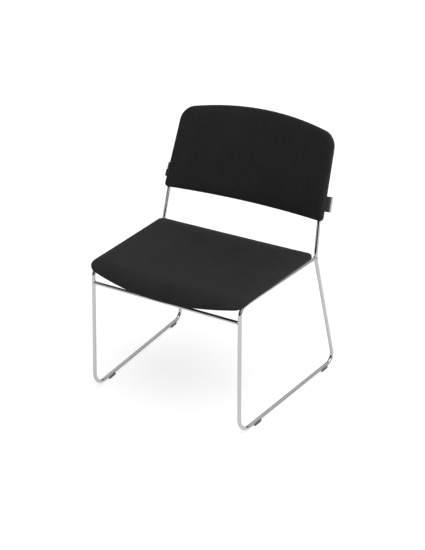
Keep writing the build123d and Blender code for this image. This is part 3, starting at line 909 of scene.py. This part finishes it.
def lining_material():
    """Pressed fibre cloth: short crossing fibres and the dots that bond them."""
    material, tree = new_material("lining_cloth")
    place = tree.place()
    stretched = tree.add("ShaderNodeMapping", None, {"Vector": place, "Scale": (1.0, 0.35, 1.0)})
    fibre = tree.noise(stretched, 900.0, 3.0)
    dots = tree.add("ShaderNodeTexVoronoi", None, {"Vector": place, "Scale": 420.0, "Randomness": 0.2})
    felt = fibre * 0.7 + dots * 0.5
    colour = tree.between(felt, (0.008, 0.008, 0.009), (0.030, 0.030, 0.032))
    tree.surface(colour, 0.7 + fibre * 0.2, (felt, 0.4, 0.0002), {"Specular IOR Level": 0.3})
    return material


lining_flat = fill_outline(trace_outline(outside_seat, SEAT_CENTRE, seat_corners, LINING_INSET, LINING_LINES))
lining_rows, lining_columns = lining_flat.shape[:2]
lining_ring = lining_flat.reshape(-1, 2)[rim_of(lining_rows, lining_columns)]
flat_x, flat_y = lining_flat[..., 0].ravel(), lining_flat[..., 1].ravel()
lining_places = on_seat(flat_x, flat_y, np.full(flat_x.size, LINING_HEIGHT))
lining_index = np.arange(flat_x.size).reshape(lining_rows, lining_columns)
lining_faces = [tuple(int(i) for i in face) for face in grid_faces(lining_index, True)]
lining_mesh = face_mesh("seat_lining", lining_places.tolist(), lining_faces)
shade(lining_mesh)
lining_mesh.materials.append(lining_material())
lining = new_object("seat_lining", lining_mesh)
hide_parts("seat_undercover")
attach(lining, "root")
cut_area(lining_ring)


def zinc_material():
    """Bright zinc plating with the faint mottle of passivated steel."""
    material, tree = new_material("zinc_plate")
    place = tree.place()
    mottle = tree.noise(place, 160.0, 4.0)
    spangle = tree.add("ShaderNodeTexVoronoi", None, {"Vector": place, "Scale": 700.0})
    colour = tree.between(mottle, (0.50, 0.51, 0.53), (0.74, 0.74, 0.72))
    tree.surface(colour, 0.24 + mottle * 0.16, (spangle, 0.15, 0.0002), {"Metallic": 1.0})
    return material


def spots_mesh(name, spots):
    """Points with the way each piece set there faces and lies."""
    mesh = bpy.data.meshes.new(name)
    mesh.from_pydata([tuple(place) for place, _, _ in spots], [], [])
    for label, part in (("facing", 1), ("lying", 2)):
        values = np.array([tuple(spot[part]) for spot in spots]).ravel()
        mesh.attributes.new(label, "FLOAT_VECTOR", "POINT").data.foreach_set("vector", values)
    return mesh


def scatter_tree(material):
    """Sets one piece at every point, turned to face and lie as the point says."""
    tree = geometry_tree("set_pieces", {"Piece": "NodeSocketObject", "Size": "NodeSocketFloat"})
    given = tree.add("NodeGroupInput", output="Geometry")
    wanted = {"Object": tree.other(given, "Piece")}
    piece = tree.add("GeometryNodeObjectInfo", None, wanted, output="Geometry")
    vector = {"data_type": "FLOAT_VECTOR"}
    facing = tree.add("GeometryNodeInputNamedAttribute", vector, {"Name": "facing"})
    lying = tree.add("GeometryNodeInputNamedAttribute", vector, {"Name": "lying"})
    upright = tree.add("FunctionNodeAlignRotationToVector", {"axis": "Z"}, {"Vector": facing})
    turned = tree.add("FunctionNodeAlignRotationToVector", {"axis": "X", "pivot_axis": "Z"}, {
        "Rotation": upright, "Vector": lying})
    set_out = tree.add("GeometryNodeInstanceOnPoints", None, {
        "Points": given, "Instance": piece, "Rotation": turned, "Scale": tree.other(given, "Size")})
    close_tree(tree, set_out, material)
    return tree


def set_pieces(name, spots, piece_mesh, material, replaced=(), smooth=True):
    """One object holding a copy of a small piece at every spot."""
    pattern = new_object(name + "_pattern", piece_mesh)
    made = new_object(name, spots_mesh(name, spots))
    settle(made, scatter_tree(material), {"Piece": pattern, "Size": 1.0})
    bpy.data.objects.remove(pattern)
    shade(made.data, smooth)
    if replaced:
        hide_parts(*replaced)
    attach(made, "root")


def tube_faces(rings, around):
    """Quads between rings of points that each go once round a piece."""
    faces = []
    for k in range(rings - 1):
        for i in range(around):
            j = (i + 1) % around
            faces.append((around * k + i, around * k + j, around * (k + 1) + j, around * (k + 1) + i))
    return faces


def staple_mesh():
    """Flattened crown of a wire staple with its two legs turned into the board."""
    half, drop = STAPLE_WIDTH / 2, 2.2 * MM
    centre = [(-half, -drop), (-half, -0.3 * MM), (-half + 0.4 * MM, STAPLE_WIRE), (0, STAPLE_WIRE * 1.3),
              (half - 0.4 * MM, STAPLE_WIRE), (half, -0.3 * MM), (half, -drop)]
    ring = ((-1, 0), (-0.6, 0.8), (0.6, 0.8), (1, 0), (0.6, -0.8), (-0.6, -0.8))
    points = [(x, y * STAPLE_WIRE * 1.3, z + lift * STAPLE_WIRE) for x, z in centre for y, lift in ring]
    return face_mesh("staple", points, tube_faces(len(centre), len(ring)))


def seat_down(y):
    """Way out of the underside at a flat point."""
    angle = max(SEAT_NOSE_Y - y, 0) / SEAT_MIDDLE_R
    return Vector((0, sin(angle), -cos(angle)))


def closed_loop(outside, centre, corners, inset):
    """A fine closed outline, and the length run so far at each of its points."""
    sides = trace_outline(outside, centre, corners, inset, (LOOP_LINES,) * 4)
    loop = np.concatenate([side[:-1] for side in sides])
    loop = np.vstack([loop, loop[:1]])
    return loop, run_along(loop)


def near_box(place, low, high):
    """Whether a place is over a box or just beside it, seen from below."""
    return (low.x - STAPLE_TAB_GAP < place.x < high.x + STAPLE_TAB_GAP
            and low.y - STAPLE_TAB_GAP < place.y < high.y + STAPLE_TAB_GAP)


def staple_spots():
    """Staples round the hem, clear of the four tabs."""
    loop, run = closed_loop(outside_seat, SEAT_CENTRE, seat_corners, STAPLE_INSET)
    count = round(run[-1] / STAPLE_PITCH)
    spots = []
    boxes = [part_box(name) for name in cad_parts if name.startswith("seat_tab_")]
    for k in range(count):
        where = (k + 0.5) / count * run[-1]
        here = [float(np.interp(where, run, loop[:, i])) for i in range(2)]
        ahead = [float(np.interp(where + 2 * MM, run, loop[:, i])) for i in range(2)]
        place = Vector(on_seat(np.array(here[0]), np.array(here[1]), 0.0).tolist())
        beyond = Vector(on_seat(np.array(ahead[0]), np.array(ahead[1]), 0.0).tolist())
        if not any(near_box(place, low, high) for low, high in boxes):
            spots.append((place, seat_down(here[1]), beyond - place))
    return spots


zinc = zinc_material()
set_pieces("hem_staples", staple_spots(), staple_mesh(), zinc)

# ------------------------------------------------------------------ screws
# Zinc-plated pan-head screws with hexagon sockets: four up through the seat tabs into the
# board's tee nuts, and two through each linking hook.

HEAD_RADIUS = 5.2 * MM
HEAD_HEIGHT = 3.2 * MM
SOCKET_RADIUS = 2.0 * MM
SOCKET_DEPTH = 1.8 * MM
SCREW_RADIUS = 2.9 * MM
TAB_THICK = 3.0 * MM
SEAT_TAB_Y = (96.0 * MM, 345.0 * MM)
SEAT_SCREW_INSET = 20.0 * MM
HEAD_SIDES = 36


def pan_head_mesh(shank):
    """Turned head with a domed rim, a hexagon socket and its shank below."""
    turned = [(SCREW_RADIUS, -shank), (SCREW_RADIUS, 0), (HEAD_RADIUS - 0.15 * MM, 0),
              (HEAD_RADIUS, 0.2 * MM), (HEAD_RADIUS, 1.5 * MM), (HEAD_RADIUS - 0.35 * MM, 2.3 * MM),
              (HEAD_RADIUS - 1.1 * MM, 2.9 * MM), (HEAD_RADIUS - 2.0 * MM, HEAD_HEIGHT)]
    socket = [(SOCKET_RADIUS * 1.06, HEAD_HEIGHT), (SOCKET_RADIUS, HEAD_HEIGHT - 0.15 * MM),
              (SOCKET_RADIUS, HEAD_HEIGHT - SOCKET_DEPTH)]
    angles = [2 * pi * i / HEAD_SIDES for i in range(HEAD_SIDES)]
    points = [(radius * cos(a), radius * sin(a), z) for radius, z in turned for a in angles]
    for radius, z in socket:
        for a in angles:
            flat = cos(pi / 6) / cos((a % (pi / 3)) - pi / 6)
            points.append((radius * flat * cos(a), radius * flat * sin(a), z))
    rings = len(turned) + len(socket)
    faces = tube_faces(rings, HEAD_SIDES)
    faces.append(tuple((rings - 1) * HEAD_SIDES + i for i in range(HEAD_SIDES)))
    faces.append(tuple(reversed(range(HEAD_SIDES))))
    return face_mesh("pan_head", points, faces)


def tab_screw_spots():
    """Under each seat tab, over the middle of its hole."""
    spots = []
    for side in SIDE_NAMES:
        for y in SEAT_TAB_Y:
            x = side * (side_x(y, RAIL_Z) - SEAT_SCREW_INSET)
            place = Vector((x, y + FEET_Y, SEAT_UNDER - TAB_THICK))
            spots.append((place, Vector((0, 0, -1)), Vector((1, 0.3, 0))))
    return spots


set_pieces("seat_screw_heads", tab_screw_spots(), pan_head_mesh(shank=9 * MM), zinc,
           ["seat_screws"], smooth=False)

# ------------------------------------------------------------------ linking hooks
# Two bright bent steel hooks screwed behind the side edges of the back. The right one turns
# to the rear and the left one, in a rubber buffer, to the front, so chairs link in a row.

HOOK_THICK = 2.0 * MM
HOOK_LEAF = 34.0 * MM
HOOK_REACH = 15.0 * MM
HOOK_FLANGE = 7.0 * MM
HOOK_LENGTH = 48.0 * MM
HOOK_MIDDLE = 54.0 * MM
HOOK_BEND = 2.2 * MM
HOOK_CORNER = 5.0 * MM
HOOK_FLANGE_CORNER = 2.0 * MM
HOOK_EDGE = 0.35 * MM
HOOK_GAP = 0.1 * MM               # between the back's cover and the leaf
HOOK_SCREW = (24.5 * MM, 18.0 * MM)


def hook_frame(side):
    """Axes of a hook: out to the side, up the back, and to the rear, from the back's side edge."""
    x = back_half_width(HOOK_MIDDLE)
    outer = back_radius + BACK_THICK
    away = sqrt(outer**2 - x**2)
    start = on_back(side * x, BACK_HOLLOW - back_radius + away, HOOK_MIDDLE)
    narrow = -side * BACK_NARROWING
    up = (on_back(narrow, 0, 1) - on_back(0, 0, 0)).normalized()
    rear = (on_back(side * x, away, 0) - on_back(0, 0, 0)).normalized()
    out = up.cross(rear).normalized()
    if out.x * side < 0:
        out = -out
    return start, out, up, rear


def hook_section(side):
    """Middle line of the bent sheet: along the leaf and wing, round the bend, along the flange."""
    turn = 1 if side == RIGHT else -1
    middle = HOOK_THICK / 2 + HOOK_GAP
    corner = HOOK_REACH - HOOK_THICK / 2
    line = [(-HOOK_LEAF + d * MM, middle) for d in (0, 0.4, 1, 2, 3.3, 5, 12, 20)]
    line += [(d, middle) for d in (-2 * MM, 4 * MM, 9 * MM)]
    for i in range(9):
        angle = pi / 2 * i / 8
        line.append((corner - HOOK_BEND * (1 - sin(angle)), middle + turn * HOOK_BEND * (1 - cos(angle))))
    end = middle + turn * (HOOK_FLANGE + HOOK_THICK / 2 - HOOK_GAP)
    for share in (0.35, 0.7, 0.86, 0.95, 1.0):
        line.append((corner, middle + turn * HOOK_BEND + (end - middle - turn * HOOK_BEND) * share))
    return line


def corner_cut(radius, along):
    """How much a round corner takes off the half width at a distance from the strip's end."""
    return radius - sqrt(max(radius**2 - max(radius - along, 0) ** 2, 0))


def hook_mesh(side):
    """A rounded-corner strip of sheet along the section, as one surface; thicken gives it its thickness and
    soft edges afterwards.
    """
    start, out, up, rear = hook_frame(side)
    line = hook_section(side)
    run = run_along(np.array(line))
    rows = np.linspace(-1, 1, 13)
    points = []
    for (x, z), at in zip(line, run):
        half = HOOK_LENGTH / 2 - corner_cut(HOOK_CORNER, at) - corner_cut(HOOK_FLANGE_CORNER, run[-1] - at)
        points += [tuple(start + out * x + up * (half * row) + rear * z) for row in rows]
    index = np.arange(len(points)).reshape(len(line), len(rows))
    faces = [tuple(int(i) for i in face) for face in grid_faces(index, False)]
    return face_mesh("linking_hook", points, faces)


def thicken(obj, thickness, bevel):
    """Gives a sheet its thickness and soft edges for good."""
    solid = obj.modifiers.new("solid", "SOLIDIFY")
    solid.thickness = thickness
    solid.offset = 0.0
    edges = obj.modifiers.new("edges", "BEVEL")
    edges.width = bevel
    edges.segments = 2
    edges.limit_method = "ANGLE"
    edges.angle_limit = radians(40)
    keep_result(obj)
    shade(obj.data)


def steel_material():
    """Satin-bright strip steel, brushed along its length before plating."""
    material, tree = new_material("hook_plate")
    place = tree.place()
    drawn = tree.add("ShaderNodeMapping", None, {"Vector": place, "Scale": (1.0, 1.0, 0.05)})
    grain = tree.noise(drawn, 2200.0, 2.0)
    haze = tree.noise(place, 60.0, 3.0)
    colour = tree.between(haze, (0.55, 0.555, 0.56), (0.68, 0.68, 0.67))
    roughness = 0.30 + grain * 0.12 + haze * 0.08
    tree.surface(colour, roughness, (grain, 0.12, 0.0001), {"Metallic": 1.0})
    return material


def hook_screw_spots():
    """Two screws through each hook's leaf, one over the other."""
    spots = []
    for side in SIDE_NAMES:
        start, out, up, rear = hook_frame(side)
        for end in (-1, 1):
            across = start - out * HOOK_SCREW[0] + up * (end * HOOK_SCREW[1])
            spots.append((across + rear * (HOOK_THICK + HOOK_GAP), rear, up + out * 0.4 * end))
    return spots


hook_steel = steel_material()
for side, name in SIDE_NAMES.items():
    hook = new_object(f"linking_hook_{name}_plate", hook_mesh(side))
    thicken(hook, HOOK_THICK, HOOK_EDGE)
    hook.data.materials.append(hook_steel)
    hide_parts("linking_hook_" + name)
    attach(hook, "root")
set_pieces("hook_screw_heads", hook_screw_spots(), pan_head_mesh(shank=12 * MM), zinc,
           ["linking_hook_screws"], smooth=False)


def rubber_material():
    """Moulded black rubber with a matt, faintly pitted skin."""
    material, tree = new_material("rubber")
    place = tree.place()
    pits = tree.noise(place, 1500.0, 2.0)
    bloom = tree.noise(place, 90.0, 3.0)
    colour = tree.between(bloom, (0.010, 0.010, 0.010), (0.028, 0.028, 0.029))
    tree.surface(colour, 0.55 + bloom * 0.25, (pits, 0.3, 0.0002))
    return material


paint_kept("linking_hook_buffer", rubber_material())

# ------------------------------------------------------------------ glides
# Four small clip-on saddles of moulded plastic under the floor runners, rounded at both ends,
# with a flat sole that carries the chair just clear of the floor.

GLIDE_LENGTH = 34.0 * MM
GLIDE_HALF_WIDTH = 7.6 * MM
GLIDE_TOP_Z = 9.0 * MM
GLIDE_ROUND = 5.0 * MM
GLIDE_END_SHARE = 0.1             # how wide the saddle still is at its very ends
GLIDE_FIT = 0.06 * MM
GLIDE_WALL = 0.2 * MM


def glide_section(shrink):
    """Outline across the saddle: out round the sole and sides, and back round the rod."""
    half = GLIDE_HALF_WIDTH * shrink + (ROD_RADIUS + GLIDE_WALL) * (1 - shrink)
    outer = [(0, 0), (half * 0.55, 0), (half - 1.4 * MM, 0), (half - 0.5 * MM, 0.5 * MM), (half, 1.6 * MM),
             (half, 4.5 * MM), (half, GLIDE_TOP_Z - 0.8 * MM), (half - 0.5 * MM, GLIDE_TOP_Z)]
    bore = ROD_RADIUS + GLIDE_FIT
    low_angle = asin((GLIDE_TOP_Z - GLIDE_WALL - RUNNER_Z) / bore)
    inner = [(bore * cos(a), RUNNER_Z + bore * sin(a)) for a in np.linspace(low_angle, -pi / 2, 9)]
    right = outer + inner
    left = [(-x, z) for x, z in reversed(right)][1:-1]
    return right + left


def glide_mesh(side, y):
    """The saddle's outline carried along the runner, drawn in round both ends."""
    stations = [0.0, 0.25 * MM, 0.8 * MM, 1.8 * MM, 3.2 * MM, GLIDE_ROUND, GLIDE_LENGTH / 2]
    stations += [GLIDE_LENGTH - s for s in reversed(stations[:-1])]
    along = (side_point(side, y + 1, RUNNER_Z) - side_point(side, y, RUNNER_Z)).normalized()
    across = Vector((along.y, -along.x, 0))
    centre = side_point(side, y, 0)
    points = []
    for station in stations:
        near = min(station, GLIDE_LENGTH - station)
        shrink = sqrt(max(1 - (max(GLIDE_ROUND - near, 0) / GLIDE_ROUND) ** 2, 0.0))
        here = centre + along * (station - GLIDE_LENGTH / 2)
        section = glide_section(max(shrink, GLIDE_END_SHARE))
        points += [tuple(here + across * x + Vector((0, 0, z))) for x, z in section]
    count = len(section)
    faces = [face[:1] + face[:0:-1] for face in tube_faces(len(stations), count)]
    faces.append(tuple(range(count)))
    faces.append(tuple(reversed(range(len(points) - count, len(points)))))
    mesh = face_mesh("glide", points, faces)
    shade(mesh)
    return mesh


def plastic_material():
    """Smoke-grey moulded nylon, scuffed dull on the sole."""
    material, tree = new_material("glide_nylon")
    place = tree.place()
    spark = tree.noise(place, 1100.0, 2.0)
    height = tree.add("ShaderNodeSeparateXYZ", None, {0: place}, output="Z")
    sole = tree.add("ShaderNodeMapRange", None, {"Value": height, 1: 0.0, 2: 0.0016, 3: 1.0, 4: 0.0})
    cloudy = tree.noise(place, 120.0, 3.0)
    colour = tree.between(sole * 0.5 + cloudy * 0.5, (0.045, 0.045, 0.047), (0.11, 0.11, 0.11))
    tree.surface(colour, 0.34 + sole * 0.35 + cloudy * 0.1, (spark, 0.25, 0.0001))
    return material


glide_nylon = plastic_material()
for side, name in SIDE_NAMES.items():
    for place, y in zip(("front", "rear"), GLIDE_Y):
        glide = new_object(f"glide_{place}_{name}_clip", glide_mesh(side, y))
        glide.data.materials.append(glide_nylon)
        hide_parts(f"glide_{place}_{name}")
        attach(glide, "root")

# ------------------------------------------------------------------ back seam
# The sleeve's rear panel is sewn to its edge band, and a line of topstitching runs round the
# rear face just inside the seam.

STITCH_INSET = 9.0 * MM
STITCH_PITCH = 3.6 * MM
STITCH_LENGTH = 2.7 * MM
STITCH_RADIUS = 0.32 * MM


def stitch_mesh():
    """One stitch of thick thread, pulled into the cloth at both ends."""
    shares = (-1, -0.8, -0.4, 0, 0.4, 0.8, 1)
    sides = 6
    points = []
    for share in shares:
        radius = STITCH_RADIUS * sqrt(max(1 - share**2, 0.02))
        sag = -STITCH_RADIUS * 1.1 * share**2
        for i in range(sides):
            angle = 2 * pi * i / sides
            points.append((share * STITCH_LENGTH / 2, radius * cos(angle), radius * sin(angle) + sag))
    return face_mesh("stitch", points, tube_faces(len(shares), sides))


def seam_spots():
    """Stitches on the finished rear face, each lying along the seam."""
    loop, run = closed_loop(outside_back, BACK_CENTRE, back_corners, STITCH_INSET)
    wanted = np.arange(0, run[-1], STITCH_PITCH)
    flat = np.stack([np.interp(wanted, run, loop[:, i]) for i in range(2)], axis=1)
    places = in_back(flat[:, 0], flat[:, 1], np.zeros(len(flat)))
    spots = []
    for k, place in enumerate(places):
        _, on_cover, facing, _ = back_pad.closest_point_on_mesh(Vector(place))
        lying = Vector(places[(k + 1) % len(places)] - places[k - 1])
        spots.append((on_cover + facing * (STITCH_RADIUS * 0.6), facing, lying))
    return spots


def thread_material():
    """Twisted black polyester thread."""
    material, tree = new_material("seam_thread")
    twist = tree.noise(tree.place(), 3000.0, 1.0)
    colour = tree.between(twist, (0.012, 0.012, 0.013), (0.050, 0.050, 0.052))
    tree.surface(colour, 0.45 + twist * 0.2, (twist, 0.5, 0.0001))
    return material


set_pieces("back_topstitch", seam_spots(), stitch_mesh(), thread_material())

# ------------------------------------------------------------------ inner parts
# Birch plywood boards inside the padding, the seat's pressed with its rolled nose, and the
# zinc-plated tee nuts and back screws, which stay as the makers' solids.

BOARD_INSET = 3.0 * MM
BOARD_THICK = 7.0 * MM
BOARD_UNDER = 1.3 * MM            # over the seat's underside, for the cover below it
PLY_PAIR = 2.8 * MM               # one light and one dark ply


def plywood_material():
    """Birch veneer: long pale grain on the faces, light and dark plies at the edges."""
    material, tree = new_material("birch_ply")
    place = tree.place()
    long_grain = tree.add("ShaderNodeMapping", None, {"Vector": place, "Scale": (0.12, 1.0, 1.0)})
    grain = tree.add("ShaderNodeTexNoise", None, {
        "Vector": long_grain, "Scale": 160.0, "Detail": 6.0, "Distortion": 1.2})
    height = tree.add("ShaderNodeSeparateXYZ", None, {0: place}, output="Z")
    plies = (height * (2 * pi / PLY_PAIR)).maths("SINE") * 0.5 + 0.5
    face = tree.between(grain, (0.48, 0.30, 0.15), (0.70, 0.52, 0.32))
    colour = tree.between(plies * 0.3, face, (0.30, 0.17, 0.08))
    tree.surface(colour, 0.5 + grain * 0.2, (grain, 0.2, 0.0002))
    return material


def outside_board(x, y):
    """Distance outside the board's outline, which follows the seat's."""
    return outside_seat(x, y) + BOARD_INSET


def on_board(x, y, t):
    """Place of a flat point at height t over the board's own underside."""
    return on_seat(x, y, t + BOARD_UNDER)


plywood = plywood_material()
board_shape = Pad(outside_board, on_board, SEAT_CENTRE, seat_corners, LINING_LINES,
                  BOARD_THICK, (1 * MM, 1 * MM))
board = new_object("seat_board_pressed", board_shape.mesh("seat_board"))
board.data.materials.append(plywood)
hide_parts("seat_board")
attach(board, "root")
for name, material in (("back_board", plywood), ("seat_tee_nuts", zinc), ("back_screws", zinc)):
    paint_kept(name, material)
